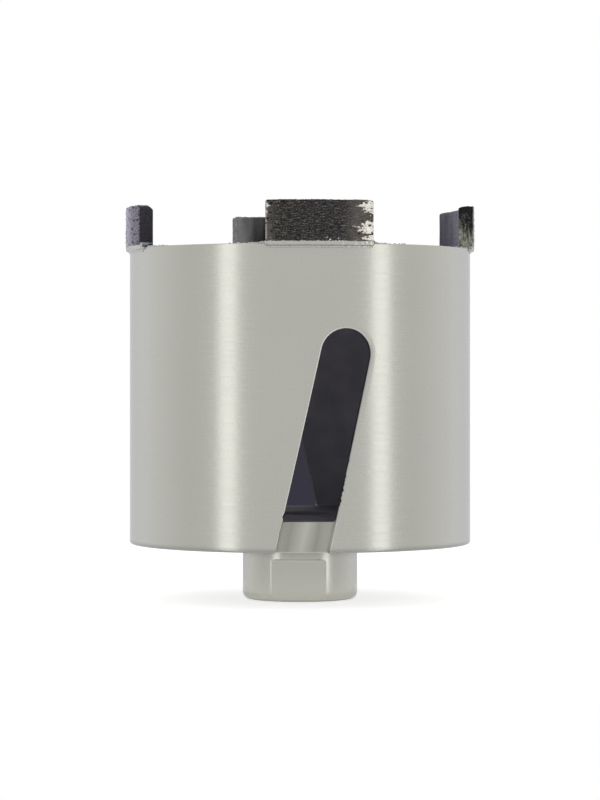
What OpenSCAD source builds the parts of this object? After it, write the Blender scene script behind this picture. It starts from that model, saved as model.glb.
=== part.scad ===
// Dry diamond core cutter: a painted steel barrel closed by a threaded hub,
// with four sintered diamond segments brazed on the rim.
// Millimetres. The origin is the centre of the hub's end face, +Z runs along
// the axis towards the segments, and -Y is the front.
// An angle round the axis is counted from the front, and grows towards +X.

/* [Cutting ring] */
// Diameter over the segments, which is the diameter of the cut
cutting_d = 82; // [68:1:132]
// How far a segment stands out past the barrel's outer wall
clearance_out = 1; // [0.5:0.1:2]
// How far a segment stands in past the barrel's inner wall
clearance_in = 0.6; // [0.3:0.1:1.5]

/* [Barrel] */
// Wall thickness of the barrel
barrel_wall = 2; // [1.5:0.1:4]
// Length of the barrel from its closed end to the rim
barrel_len = 69; // [64:1:150]
// Rounding of the barrel's outer edge at the closed end
barrel_edge_r = 0.6; // [0.2:0.1:1.2]

/* [Core slots] */
// Width of a slot
slot_w = 11.4; // [8:0.1:16]
// Lean of a slot from upright, to the right as it rises
slot_tilt = 12.5; // [0:0.5:20]
// Height of the slot's rounded end above the barrel's closed end
slot_rise = 50; // [30:1:56]
// Angle round the barrel of the line along which a slot is milled
slot_angle = 12; // [0:1:25]
// Sideways distance from that line to the centre of the rounded end
slot_shift = 2.1; // [-4:0.1:4]
// Number of slots, evenly spaced
slot_count = 2; // [1:1:3]

/* [Hub] */
// Thickness of the disc that closes the barrel
disc_t = 7; // [4:0.5:12]
// Diameter of the hub below the disc
hub_d = 27; // [25:0.5:34]
// Length of the hub below the disc
hub_len = 13; // [12:0.5:25]
// Rounding of the hub's outer edge at its end face
hub_edge_r = 1.9; // [0.5:0.1:2.4]
// Radius of the corner between the hub and the disc
hub_root_r = 0.8; // [0.2:0.1:1.5]
// Width across the two wrench flats
flat_af = 24; // [22:0.5:24.5]
// Height of the wrench flats above the end face
flat_len = 9.9; // [6:0.1:11]
// Corner radius that the cutter leaves at the top of a flat
flat_corner_r = 0.6; // [0.2:0.1:1]
// Turn of the two flats round the axis, as the hub happened to be fitted
flat_turn = -1.7; // [-45:0.1:45]
// Major diameter of the spindle thread
thread_d = 16; // [12:0.5:18]
// Chamfer at both ends of the thread
thread_chamfer = 1; // [0.5:0.1:1.4]

/* [Diamond segments] */
// Length of a segment along the middle of its arc
seg_len = 23.7; // [15:0.1:35]
// Height of a segment above its braze
seg_h = 9.3; // [5:0.1:12]
// Rounding of a segment's upper end corners, seen from outside
seg_corner_r = 0.8; // [0.2:0.1:2]
// Rounding of a segment's long edges
seg_edge_r = 0.3; // [0.1:0.1:0.8]
// Angles of the four segments round the rim, as they were set by hand
seg_angles = [6.4, 98.9, 187, 278.3]; // [0:0.1:360]

/* [Braze] */
// Thickness of the braze between the rim and a segment
braze_t = 0.4; // [0.2:0.1:0.8]
// How far the braze runs down the outer wall below the rim
braze_drop_out = 1.1; // [0.5:0.1:2.5]
// How far the braze runs down the inner wall below the rim
braze_drop_in = 0.8; // [0.4:0.1:2]
// How far the layer under a segment runs past its ends
braze_past = 0.15; // [0.05:0.05:0.5]
// Length of the braze fillet that runs out along the rim
toe_len = 2; // [1:0.1:3]
// Height of that fillet on the end of the segment
toe_h = 0.85; // [0.6:0.05:1.5]
// Thickness left at the tip of that fillet
toe_tip = 0.06; // [0.03:0.01:0.1]
// Radius of the hollow of that fillet
toe_r = 3; // [2.5:0.1:6]
// How far that fillet stays inside the edges of the rim
toe_inset = 0.1; // [0.05:0.05:0.4]

/* [Hidden] */
$fn = 96;
paint = [0.67, 0.67, 0.63];
sinter = [0.16, 0.15, 0.16];
eps = 1;
barrel_ro = cutting_d / 2 - clearance_out;
barrel_ri = barrel_ro - barrel_wall;
z_closed = hub_len;
z_rim = z_closed + barrel_len;
seg_ro = cutting_d / 2;
seg_ri = barrel_ri - clearance_in;
seg_rm = (seg_ro + seg_ri) / 2;
seg_arc = arc_of(seg_len);
z_seg = z_rim + braze_t;
z_top = z_seg + seg_h;
z_toe = z_rim + toe_h + toe_tip;
z_slot_end = z_closed + slot_rise - slot_w / 2;

// Angle of an arc of that length, measured along the middle of a segment
function arc_of(len) = len / seg_rm * 180 / PI;

// A rectangle between two corners, with its corners rounded by radius r
module rounded_box(low, high, r) {
    translate([low.x + r, low.y]) square([high.x - low.x - 2 * r, high.y - low.y]);
    translate([low.x, low.y + r]) square([high.x - low.x, high.y - low.y - 2 * r]);
    for (x = [low.x + r, high.x - r], y = [low.y + r, high.y - r])
        translate([x, y]) circle(r = r);
}

// Sweeps a profile of radius and height through an arc centred on angle a
module sector(a, arc) {
    rotate([0, 0, a - arc / 2 - 90]) rotate_extrude(angle = arc) children();
}

// Extrudes an outline of sideways distance and height outwards at angle a
module radial(a, r_in, r_out) {
    rotate([0, 0, a]) translate([0, -r_in, 0]) rotate([90, 0, 0])
        linear_extrude(height = r_out - r_in) children();
}

// The cut of one core slot, through the near wall only
module slot_cut(a) {
    reach = (slot_rise + slot_w) / cos(slot_tilt);
    rotate([0, 0, a]) translate([slot_shift, 0, z_slot_end]) rotate([90, slot_tilt, 0])
        linear_extrude(height = barrel_ro + eps) {
            circle(d = slot_w);
            translate([-slot_w / 2, -reach]) square([slot_w, reach]);
        }
}

module barrel() {
    color(paint) difference() {
        rotate_extrude() {
            translate([barrel_ri, z_closed + barrel_edge_r])
                square([barrel_wall, barrel_len - barrel_edge_r]);
            translate([barrel_ri, z_closed])
                square([barrel_wall - barrel_edge_r, 2 * barrel_edge_r]);
            translate([barrel_ro - barrel_edge_r, z_closed + barrel_edge_r])
                circle(r = barrel_edge_r);
        }
        for (i = [0 : slot_count - 1]) slot_cut(slot_angle + i * 360 / slot_count);
    }
}

// Half section of the disc and hub, before the bore is cut
module hub_section() {
    hub_r = hub_d / 2;
    translate([0, z_closed]) square([barrel_ri, disc_t]);
    translate([0, hub_edge_r]) square([hub_r, hub_len - hub_edge_r]);
    square([hub_r - hub_edge_r, hub_len]);
    translate([hub_r - hub_edge_r, hub_edge_r]) circle(r = hub_edge_r);
    difference() {
        translate([hub_r, z_closed - hub_root_r]) square(hub_root_r);
        translate([hub_r + hub_root_r, z_closed - hub_root_r]) circle(r = hub_root_r);
    }
}

// What is milled away beside one wrench flat
module flat_cut() {
    depth = hub_d - flat_af;
    rotate([90, 0, -90]) translate([flat_af / 2, 0, -hub_d]) linear_extrude(height = 2 * hub_d) {
        translate([0, -eps]) square([depth, flat_len - flat_corner_r + eps]);
        translate([flat_corner_r, -eps]) square([depth - flat_corner_r, flat_len + eps]);
        translate([flat_corner_r, flat_len - flat_corner_r]) circle(r = flat_corner_r);
    }
}

module threaded_hub() {
    bore_r = thread_d / 2;
    z_end = z_closed + disc_t;
    mouth_r = bore_r + thread_chamfer;
    color(paint) difference() {
        rotate_extrude() hub_section();
        translate([0, 0, -eps]) cylinder(r = bore_r, h = z_end + 2 * eps);
        cylinder(r1 = mouth_r, r2 = bore_r, h = thread_chamfer);
        translate([0, 0, z_end - thread_chamfer])
            cylinder(r1 = bore_r, r2 = mouth_r, h = thread_chamfer);
        rotate([0, 0, flat_turn]) {
            flat_cut();
            mirror([0, 1, 0]) flat_cut();
        }
    }
}

// What is rounded off one upper end corner of a segment, to the side s
module corner_cut(a, s) {
    radial(a, seg_ri - eps, seg_ro + eps) scale([s, 1]) difference() {
        translate([-seg_corner_r, z_top - seg_corner_r]) square(seg_corner_r + eps);
        translate([-seg_corner_r, z_top - seg_corner_r]) circle(r = seg_corner_r);
    }
}

module segment(a) {
    color(sinter) difference() {
        sector(a, seg_arc) rounded_box([seg_ri, z_seg], [seg_ro, z_top], seg_edge_r);
        corner_cut(a + seg_arc / 2, 1);
        corner_cut(a - seg_arc / 2, -1);
    }
}

// Outline of what is hollowed off the run-out of braze past one end of a segment,
// a circle through the top of the fillet and through its tip
module toe_hollow() {
    fall = toe_h - toe_tip;
    half = sqrt(toe_len * toe_len + fall * fall) / 2;
    rise = sqrt(toe_r * toe_r - half * half);
    translate([
        toe_len / 2 + rise * fall / (2 * half),
        z_rim + (toe_h + toe_tip) / 2 + rise * toe_len / (2 * half)
    ]) circle(r = toe_r);
}

// Section of the braze, with the layer under a segment left too high
module braze_section() {
    z_bead = z_rim + braze_t / 2;
    polygon([
        [seg_ri, z_toe], [seg_ri, z_bead], [barrel_ri, z_rim - braze_drop_in], [barrel_ri, z_rim],
        [barrel_ro, z_rim], [barrel_ro, z_rim - braze_drop_out], [seg_ro, z_bead], [seg_ro, z_toe]
    ]);
}

module braze(a) {
    toe_arc = arc_of(toe_len);
    trim_at = (seg_arc + arc_of(2 * braze_past) + toe_arc) / 2;
    toe_ri = barrel_ri + toe_inset;
    toe_ro = barrel_ro - toe_inset;
    z_low = z_rim - max(braze_drop_in, braze_drop_out) - eps;
    color(paint) difference() {
        sector(a, arc_of(seg_len + 2 * toe_len)) braze_section();
        sector(a, seg_arc) translate([seg_ri - eps, z_seg]) square([seg_ro - seg_ri + 2 * eps, seg_h]);
        for (s = [-1, 1]) {
            radial(a + s * seg_arc / 2, seg_ri - eps, seg_ro + eps) scale([s, 1]) toe_hollow();
            sector(a + s * trim_at, toe_arc) {
                translate([seg_ri - eps, z_low]) square([toe_ri - seg_ri + eps, z_top - z_low]);
                translate([toe_ro, z_low]) square([seg_ro - toe_ro + eps, z_top - z_low]);
            }
        }
    }
}

barrel();
threaded_hub();
segment(seg_angles[0]);  // segment_front
segment(seg_angles[1]);  // segment_right
segment(seg_angles[2]);  // segment_back
segment(seg_angles[3]);  // segment_left
braze(seg_angles[0]);  // braze_front
braze(seg_angles[1]);  // braze_right
braze(seg_angles[2]);  // braze_back
braze(seg_angles[3]);  // braze_left
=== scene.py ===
# %% [markdown]
# # A dry diamond core drill bit
# A thin steel barrel is closed at its lower end by a thick disc with a threaded hub,
# and carries four diamond segments on its rim. Everything but the segments is painted.
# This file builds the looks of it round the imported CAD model, piece by piece.

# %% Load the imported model
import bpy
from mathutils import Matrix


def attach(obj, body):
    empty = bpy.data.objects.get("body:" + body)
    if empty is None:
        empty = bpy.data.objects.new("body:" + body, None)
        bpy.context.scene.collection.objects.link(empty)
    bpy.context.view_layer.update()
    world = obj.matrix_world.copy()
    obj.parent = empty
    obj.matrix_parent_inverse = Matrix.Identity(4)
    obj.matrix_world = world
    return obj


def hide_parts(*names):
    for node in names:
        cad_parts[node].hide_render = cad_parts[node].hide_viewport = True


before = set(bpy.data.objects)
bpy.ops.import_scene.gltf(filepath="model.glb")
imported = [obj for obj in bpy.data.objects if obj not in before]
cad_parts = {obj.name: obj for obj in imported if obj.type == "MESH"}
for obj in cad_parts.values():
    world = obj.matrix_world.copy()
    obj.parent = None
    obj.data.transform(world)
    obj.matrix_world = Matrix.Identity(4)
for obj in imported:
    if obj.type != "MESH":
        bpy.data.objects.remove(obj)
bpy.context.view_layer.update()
print("nodes:", ", ".join(sorted(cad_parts)))

# %% [markdown]
# ## Camera
# The picture is taken from the height of the middle of the bit, two thirds of a metre away,
# with a long lens. The camera looks level, so that upright edges stay upright, and its
# shift puts the horizon above the middle of the picture. Tilting it would do that too, but
# it would make the sides of the barrel lean.

# %% Camera
import math
import bpy

CAMERA_BACK, CAMERA_HEIGHT = 0.6828, 0.0546
FOCAL_PIXELS, HORIZON_ROW, PICTURE_HEIGHT = 2897.6, 366.2, 800

scene = bpy.context.scene
scene.view_settings.view_transform = "Standard"
camera = bpy.data.objects.new("camera", bpy.data.cameras.new("camera"))
scene.collection.objects.link(camera)
camera.location = (0, -CAMERA_BACK, CAMERA_HEIGHT)
camera.rotation_euler = (math.radians(90), 0, 0)
camera.data.sensor_width = 36
camera.data.lens = FOCAL_PIXELS / PICTURE_HEIGHT * camera.data.sensor_width
camera.data.shift_y = HORIZON_ROW / PICTURE_HEIGHT - 0.5
camera.data.clip_start = 0.05
scene.camera = camera
print("lens", round(camera.data.lens, 1), "mm")

# %% [markdown]
# ## Node helper
# Materials and Geometry Nodes are both trees of nodes. One class wraps such a tree. Its
# methods add nodes and fill their inputs: a value is typed in, a socket is linked, and a
# colour of three numbers is one as a screen shows it, 0 to 255.

# %% Node helper
def linear(*srgb):
    """A colour as it is read off a screen, turned into the numbers that a shader takes."""
    return tuple((c / 255 / 12.92 if c <= 10 else ((c / 255 + 0.055) / 1.055) ** 2.4) for c in srgb) + (1,)


class Tree:
    """A node tree, with a short method for each kind of node that comes up again and again."""

    def __init__(self, raw):
        self.raw = raw
        raw.nodes.clear()

    def fill(self, node, inputs):
        """Fills inputs by name or number."""
        for key, value in inputs.items():
            socket = node.inputs[key]
            if isinstance(value, bpy.types.NodeSocket):
                self.raw.links.new(value, socket)
            else:
                on_screen = socket.type == "RGBA" and len(value) == 3
                socket.default_value = linear(*value) if on_screen else value

    def add(self, kind, inputs=None, **settings):
        """Adds a node; the settings are its properties."""
        node = self.raw.nodes.new(kind)
        for key, value in settings.items():
            setattr(node, key, value)
        self.fill(node, inputs or {})
        return node

    def first(self, kind, inputs=None, **settings):
        """Adds a node and gives back its first output."""
        return self.add(kind, inputs, **settings).outputs[0]

    def math(self, operation, *values):
        return self.first("ShaderNodeMath", dict(enumerate(values)), operation=operation)

    def times(self, one, two):
        return self.math("MULTIPLY", one, two)

    def more(self, base, value, amount):
        """base, and a value times an amount on top."""
        return self.math("MULTIPLY_ADD", value, amount, base)

    def vector_math(self, operation, *values):
        """For the operations that give a number."""
        made = self.add("ShaderNodeVectorMath", dict(enumerate(values)), operation=operation)
        return made.outputs["Value"]

    def split(self, vector):
        return self.add("ShaderNodeSeparateXYZ", {0: vector}).outputs

    def place(self):
        return self.add("ShaderNodeTexCoord").outputs["Object"]

    def attribute(self, name, output="Color"):
        return self.add("ShaderNodeAttribute", attribute_name=name).outputs[output]

    def noise(self, vector, scale, detail):
        return self.first("ShaderNodeTexNoise", {"Vector": vector, "Scale": scale, "Detail": detail})

    def remap(self, value, low, high, start=0.0, end=1.0, **settings):
        """start at low, end at high, and a straight change between them."""
        return self.first("ShaderNodeMapRange", {"Value": value, "From Min": low, "From Max": high,
                                                 "To Min": start, "To Max": end}, **settings)

    def between(self, value, low, high, start=0.0, end=1.0):
        """The same with a smooth change."""
        return self.remap(value, low, high, start, end, interpolation_type="SMOOTHSTEP")

    def ramp(self, value, *stops):
        """A colour ramp from (position, colour) pairs; a single number stands for a grey."""
        made = self.add("ShaderNodeValToRGB", {0: value})
        points = made.color_ramp.elements
        for _ in stops[2:]:
            points.new(0.5)
        for point, (position, tone) in zip(points, stops):
            tone = tone if isinstance(tone, tuple) else (tone, tone, tone, 1)
            point.position, point.color = position, linear(*tone) if len(tone) == 3 else tone
        return made.outputs[0]

    def blend(self, factor, one, two, way="MIX"):
        """Mixes two colours."""
        made = self.add("ShaderNodeMix", {"Factor": factor, 6: one, 7: two}, data_type="RGBA", blend_type=way)
        return made.outputs[2]

    def layers(self, colour, *coats):
        """Lays coats over a colour, each a mask and a tone."""
        for mask, tone in coats:
            colour = self.blend(mask, colour, tone)
        return colour

    def bump(self, *layers):
        """Bumps on one another: for each a height, its strength, and a distance in metres."""
        below = {}
        for height, strength, distance in layers:
            inputs = {"Height": height, "Strength": strength, "Distance": distance, **below}
            below = {"Normal": self.first("ShaderNodeBump", inputs)}
        return below["Normal"]


def new_material(name):
    """An empty material: its tree, and its Principled shader already joined to the output."""
    material = bpy.data.materials.new(name)
    material.use_nodes = True
    tree = Tree(material.node_tree)
    shader = tree.add("ShaderNodeBsdfPrincipled")
    tree.add("ShaderNodeOutputMaterial", {"Surface": shader.outputs[0]})
    return material, tree, shader


print("body paint:", [round(c, 3) for c in linear(174, 174, 166)])

# %% [markdown]
# ## Light and floor
# Product pictures of shiny tools are lit by tall, narrow soft boxes, because a cylinder
# draws each one out to an upright stripe. Two stand left and right of the camera, and pale
# surroundings give the rest. Camera and gloss see those as plain white, but the camera also
# sees a small dark patch straight behind the bit. In this view it shows only through the
# slots. From a few degrees away it shows beside or above the bit, which is a weak point of
# this way. The soft boxes reach below the round table top, and gloss sees through its outer
# part, so that the stripes run down to the foot of the hub.

# %% Surroundings
PATCH_DIRECTION, PATCH_RADIUS = (0.0, 0.99936, -0.0358), 0.024

world = bpy.data.worlds.new("pale_studio")
world.use_nodes = True
scene.world = world
tree = Tree(world.node_tree)


def seen_directly(tree):
    """1 for rays from the camera, from a gloss and through glass, else 0."""
    path = tree.add("ShaderNodeLightPath").outputs
    either = tree.math("MAXIMUM", path["Is Camera Ray"], path["Is Glossy Ray"])
    return tree.math("MAXIMUM", either, path["Is Transmission Ray"])


direction = tree.add("ShaderNodeTexCoord").outputs["Generated"]
backwards = tree.remap(tree.split(direction)[1], -1.0, 1.0)
room = tree.ramp(backwards, (0.0, 0.86), (0.42, 0.8), (0.70, 1.0), (0.76, (1.05, 1.04, 1.09, 1)),
                 (0.86, (1.09, 1.09, 1.14, 1)), (0.94, (1.0, 1.0, 1.02, 1)), (1.0, (0.86, 0.87, 0.93, 1)))
from_middle = tree.vector_math("DISTANCE", direction, PATCH_DIRECTION)
behind = tree.ramp(from_middle, (PATCH_RADIUS, (56, 54, 65)), (PATCH_RADIUS + 0.005, 1.0))
room = tree.blend(tree.add("ShaderNodeLightPath").outputs["Is Camera Ray"], room, behind)
strength = tree.remap(seen_directly(tree), 0.0, 1.0, 0.8, 1.0)
sky = tree.first("ShaderNodeBackground", {"Color": room, "Strength": strength})
tree.add("ShaderNodeOutputWorld", {"Surface": sky})
print("surroundings: white behind the bit, a little greyer towards the room")

# %% Soft boxes
def soft_box(name, angle, power, width=0.13, height=1.3, distance=0.6):
    """A tall area light that faces the axis, at an angle from the front."""
    lamp = bpy.data.lights.new(name, "AREA")
    lamp.shape, lamp.size, lamp.size_y, lamp.energy = "RECTANGLE", width, height, power
    lamp_object = bpy.data.objects.new(name, lamp)
    scene.collection.objects.link(lamp_object)
    turn = math.radians(angle)
    lamp_object.location = (distance * math.sin(turn), -distance * math.cos(turn), 0.06)
    lamp_object.rotation_euler = (math.radians(90), 0, turn)
    print(name, "radiance", round(power / (math.pi * width * height), 2))


soft_box("soft_box_left", -47.3, 0.69)
soft_box("soft_box_right", 53.6, 0.675)

# %% Table top
import bmesh


def to_object(name, mesh_or_bmesh, materials=()):
    """Links a finished mesh to the scene as an object at the origin."""
    mesh = mesh_or_bmesh
    if isinstance(mesh, bmesh.types.BMesh):
        mesh = bpy.data.meshes.new(name)
        mesh_or_bmesh.to_mesh(mesh)
        mesh_or_bmesh.free()
    for material in materials:
        mesh.materials.append(material)
    made = bpy.data.objects.new(name, mesh)
    scene.collection.objects.link(made)
    return made


TABLE_RADIUS = 0.22
floor_material, tree, shader = new_material("pale_table")
lit = tree.remap(seen_directly(tree), 0.0, 1.0, 0.0, 0.6)
tree.fill(shader, {"Base Color": (0.8, 0.8, 0.8, 1), "Roughness": 0.9, "Specular IOR Level": 0.1,
                   "Emission Strength": lit, "Emission Color": (1, 1, 1, 1)})
outside = tree.remap(tree.vector_math("LENGTH", tree.place()), 0.045, 0.06)
glossy = tree.add("ShaderNodeLightPath").outputs["Is Glossy Ray"]
open_to_gloss = tree.times(outside, glossy)
clear = tree.first("ShaderNodeBsdfTransparent")
mixed = tree.first("ShaderNodeMixShader", {0: open_to_gloss, 1: shader.outputs[0], 2: clear})
tree.add("ShaderNodeOutputMaterial", {"Surface": mixed}).is_active_output = True
disc = bmesh.new()
bmesh.ops.create_circle(disc, cap_ends=True, segments=128, radius=TABLE_RADIUS)
floor = to_object("table_top", disc, [floor_material])
print("table top", 2 * TABLE_RADIUS, "m across")

# %% [markdown]
# ## Body paint
# The barrel, its hub and the braze share one coat of pale metallic paint. Real paint of
# this kind has fine flakes, which sparkle a little inside a highlight, and it follows the
# faint grooves that turning left in the steel below. A noise texture far smaller than a
# millimetre is the flakes, a second one, squeezed flat along the height, is the grooves, and
# a third is the slight peel of sprayed paint. All go through Bump, because none is deep
# enough to need real geometry. A thin clear coat adds the softer glow round a highlight.

# %% Body paint
PAINT_ROUGH, PAINT_METAL, PAINT_COAT = 0.23, 0.7, 0.35


def paint_nodes(tree, shader, groove=0.09, uneven=0.05):
    """Gives a shader the metallic paint, and gives back the place, the colour and the roughness."""
    place = tree.place()
    flakes, clouds, peel = tree.noise(place, 7000.0, 1.0), tree.noise(place, 40.0, 2.0), tree.noise(place, 800.0, 2.0)
    squeezed = tree.first("ShaderNodeMapping", {"Vector": place, "Scale": (18.0, 18.0, 2300.0)})
    grooves = tree.noise(squeezed, 1.0, 4.0)
    lighter = tree.more(tree.remap(flakes, 0.3, 0.7, -0.02, 0.02), clouds, 0.07)
    colour = tree.blend(lighter, (186, 186, 178), (255, 253, 242))
    mingled = tree.blend(0.35, flakes, grooves)
    rough = tree.remap(mingled, 0.35, 0.65, PAINT_ROUGH - uneven, PAINT_ROUGH + uneven)
    skin = tree.bump((grooves, groove, 0.00003), (peel, 0.3, 0.00003), (flakes, 0.04, 0.00002))
    tree.fill(shader, {"Base Color": colour, "Roughness": rough, "Normal": skin, "Metallic": PAINT_METAL,
                       "Coat Weight": PAINT_COAT, "Coat Roughness": 0.2, "Specular Tint": (0.62, 0.62, 0.65, 1)})
    return place, colour, rough


paint, tree, shader = new_material("metallic_paint")
paint_nodes(tree, shader)
print("material:", paint.name)

# %% [markdown]
# ## Barrel finish
# Inside, and on the cut faces of the slots, the steel is bare and dark, darker higher up
# inside and darkest on the cut faces. The mesh carries a "cut" attribute for bare faces,
# for the slot's rounded edge, whose paler paint is partly worn and partly a painted
# highlight, and for milled faces, a channel that also greys the rounding of the right leg as
# painted shade. Noise frays the line where the spray of paint ends below the rim. One
# function makes the shiny outside and the dull inside of this, with a darker band at the
# barrel's foot as painted shade. On the hub, height and radius are enough to tell the inner
# faces, the band of the disc that shows in the slots with its painted highlights and shade,
# the painted shade at the foot and just under the disc, and the paler paint below the disc,
# which is painted light. The disc's top is darker towards the back, painted shade, and the
# bore wall paler, painted light against the dark of the hole.

# %% Barrel finish
STEEL_ROUGH = 0.75


def radius_of(tree, place):
    """Distance from the axis, in metres."""
    x, y, _ = tree.split(place)
    return tree.vector_math("LENGTH", tree.first("ShaderNodeCombineXYZ", {0: x, 1: y}))


def finish_with_steel(tree, shader, bare, paint, rough, steel, dull, dullest):
    """Joins paint and bare steel by a mask; a second mask says where the shine is less a metal's."""
    mixed = tree.first("ShaderNodeMix", {"Factor": bare, 2: rough, 3: STEEL_ROUGH})
    tree.fill(shader, {"Base Color": tree.blend(bare, paint, steel), "Roughness": mixed,
                       "Metallic": tree.between(dull, 0.0, 1.0, PAINT_METAL, dullest),
                       "Coat Weight": tree.between(bare, 0.0, 1.0, PAINT_COAT, 0.0)})


def barrel_surface(name, gloss):
    """Paint and bare steel as the "cut" attribute says; gloss is how strongly the surface shines."""
    made, tree, shader = new_material(name)
    place, colour, rough = paint_nodes(tree, shader)
    tree.fill(shader, {"Specular IOR Level": gloss})
    height = tree.split(place)[2]
    cut, edge, milled = tree.split(tree.attribute("cut"))
    fray = tree.noise(place, 160.0, 5.0)
    spray = tree.more(height, fray, 0.006)
    unsprayed = tree.times(tree.between(spray, 0.0815, 0.0835, 1.0, 0.0),
                          tree.between(height, 0.0197, 0.0203))
    bare = tree.times(cut, unsprayed)
    # Over the paint: the pale slot edge is partly worn, partly a painted highlight; the grey on the right leg's
    # rounding is painted shade; the darker band at the foot, where the wall turns under, is painted shade.
    colour = tree.layers(colour, (tree.times(edge, 0.8), (240, 239, 233)), (tree.times(milled, 0.6), (168, 167, 165)),
                         (tree.between(height, 0.0131, 0.0144, 0.6, 0.0), (122, 121, 120)))
    low_down = tree.ramp(fray, (0.3, (129, 127, 135)), (0.7, (147, 144, 154)))
    high_up = tree.ramp(fray, (0.3, (101, 99, 107)), (0.7, (116, 113, 122)))
    inside = tree.blend(tree.between(height, 0.025, 0.065), low_down, high_up)
    cut_face = tree.ramp(fray, (0.3, (38, 37, 41)), (0.7, (58, 56, 62)))
    finish_with_steel(tree, shader, bare, colour, rough, tree.blend(milled, inside, cut_face),
                      tree.math("MAXIMUM", cut, milled), 0.1)
    return made


barrel_finish = barrel_surface("barrel_finish", 0.5)
barrel_inside = barrel_surface("barrel_inside", 0.12)

hub_finish, tree, shader = new_material("hub_finish")
place, colour, rough = paint_nodes(tree, shader, 0.1, 0.015)
tree.fill(shader, {"Specular IOR Level": 0.25})
radius, (x, y, height) = radius_of(tree, place), tree.split(place)
fray = tree.noise(place, 160.0, 5.0)
# The band of the disc's edge that shows in the slots. Light and dark stripes across it lean with the slot: painted
# reflections and painted shade from the slot's walls.
on_edge = tree.times(tree.between(radius, 0.0365, 0.0375), tree.between(height, 0.0130, 0.0134))
facing = tree.math("SIGN", tree.times(y, -1.0))
off_line = tree.math("ADD", tree.times(x, facing), tree.more(0.0027, height, -0.2217))
across_slot = tree.remap(tree.more(off_line, fray, 0.0012), -0.0054, 0.0066)
slot_light_and_shade = tree.ramp(across_slot, (0.0, 1.0), (0.22, 0.1), (0.5, 1.0), (0.74, 0.0), (1.0, 1.0))
# Painted shade: darker on the hub just under the disc, and along its very foot.
shade_under_disc = tree.times(tree.between(height, 0.0096, 0.0118, 0.0, 0.35), tree.between(radius, 0.02, 0.03, 1.0, 0.0))
shaded = tree.math("MAXIMUM", tree.between(height, 0.0001, 0.0006, 0.5, 0.0), shade_under_disc)
colour = tree.layers(colour, (on_edge, tree.blend(slot_light_and_shade, (162, 161, 152), (200, 199, 190))),
                     # Below the disc the paint is a little paler: painted light that makes up for light the hub lacks.
                     (tree.between(height, 0.0128, 0.0132, 0.2, 0.0), (216, 213, 202)), (shaded, (128, 126, 122)))
bore = tree.times(tree.between(radius, 0.0088, 0.0093, 1.0, 0.0), tree.between(height, 0.0003, 0.0008))
bare = tree.math("MAXIMUM", tree.between(height, 0.01985, 0.01997), bore)
# Bare steel on the disc's top and in the bore. Towards the back the top is darker, painted shade; the bore wall is
# paler, painted light against the dark of the hole.
bare_tone_light_and_shade = tree.layers(tree.ramp(fray, (0.3, (62, 60, 68)), (0.7, (83, 80, 92))),
                     (tree.between(y, 0.004, 0.02, 0.0, 0.62), (26, 25, 31)), (bore, (84, 82, 88)))
finish_with_steel(tree, shader, bare, colour, rough, bare_tone_light_and_shade, tree.math("MAXIMUM", bare, on_edge), 0.15)
print("materials:", barrel_finish.name, hub_finish.name)

# %% [markdown]
# ## Barrel
# The barrel is a tube with two slanted slots, each milled straight through one wall. A
# Boolean would cut them too, but its long thin faces would spoil the stripe of light beside
# a slot. So the wall is unrolled to a flat sheet, the outline of each slot is drawn on it,
# and a Delaunay triangulation fills the sheet between them. Rolled up again, every point
# gets the exact normal of a cylinder. Slot edges are rounded over, as thick paint rounds
# them, and the normals dip a little beside them, which draws the soft line along the edge.

# %% Barrel sizes
from mathutils import Vector, noise
from mathutils.geometry import delaunay_2d_cdt

OUTER, INNER = 40.0, 38.0
Z_CLOSED, Z_RIM, Z_DISC = 13.0, 82.0, 20.0
FOOT_ROUND, RIM_ROUND = 0.6, 0.25
FOOT_LEVELS = [Z_CLOSED + FOOT_ROUND * (1 - math.cos(math.radians(a))) for a in range(0, 91, 15)]
SLOT_ANGLES = (12.0, 192.0)
LEAN = math.radians(12.5)
UP, SIDE = Vector((math.sin(LEAN), math.cos(LEAN))), Vector((math.cos(LEAN), -math.sin(LEAN)))
END = Vector((2.1, 57.3))
HALF = 5.7


def clamp(value):
    return min(1, max(0, value))


def wave(*spot):
    """Smooth noise between about -1 and 1 at three coordinates."""
    return noise.noise(Vector(spot))


def polar(angle, radius, z):
    """A point from an angle round the axis in degrees, a radius and a height in millimetres."""
    a = math.radians(angle)
    return Vector((radius * math.sin(a), -radius * math.cos(a), z))


def wall_at(z, outside):
    """Radius of the wall at a height, and how far its normal leans up or down, in radians."""
    for level, rounding, sign in ((Z_CLOSED, FOOT_ROUND if outside else 0.2, -1), (Z_RIM, RIM_ROUND, 1)):
        past = (z - level) * sign + rounding
        if past > 0:
            lean = math.asin(min(past / rounding, 1))
            step = rounding * (1 - math.cos(lean))
            return (OUTER - step if outside else INNER + step), sign * lean
    return (OUTER if outside else INNER), 0.0


print("slot half width", HALF, "mm, lean", round(math.degrees(LEAN), 1), "degrees")

# %% Slot outline
LEG_STEPS = 220
NICKS = ((1, 30.0, 0.35, 0.2), (1, 29.1, 0.3, 0.14), (1, 28.3, 0.3, 0.24), (1, 27.0, 0.45, 0.28),
         (1, 25.8, 0.3, 0.14), (1, 24.6, 0.45, 0.36), (1, 23.8, 0.25, 0.2), (1, 33.5, 0.4, 0.12),
         (-1, 21.3, 0.6, 0.35), (-1, 17.9, 0.5, 0.12))  # side, height, half height, depth


def nick(which, side, z):
    """How far the edge is torn back at a height: a fine ripple, and a few deeper nicks."""
    ripple = 0.05 * max(0, wave(which * 7.3, side * 3.1, z * 2.4) - 0.1)
    torn = sum(depth * math.exp(-(((z - centre) / width) ** 4)) for s, centre, width, depth in NICKS
               if s == side and which == 0)
    return ripple + torn * (0.6 + 0.8 * wave(z * 3.1, side, 5.0))


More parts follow.
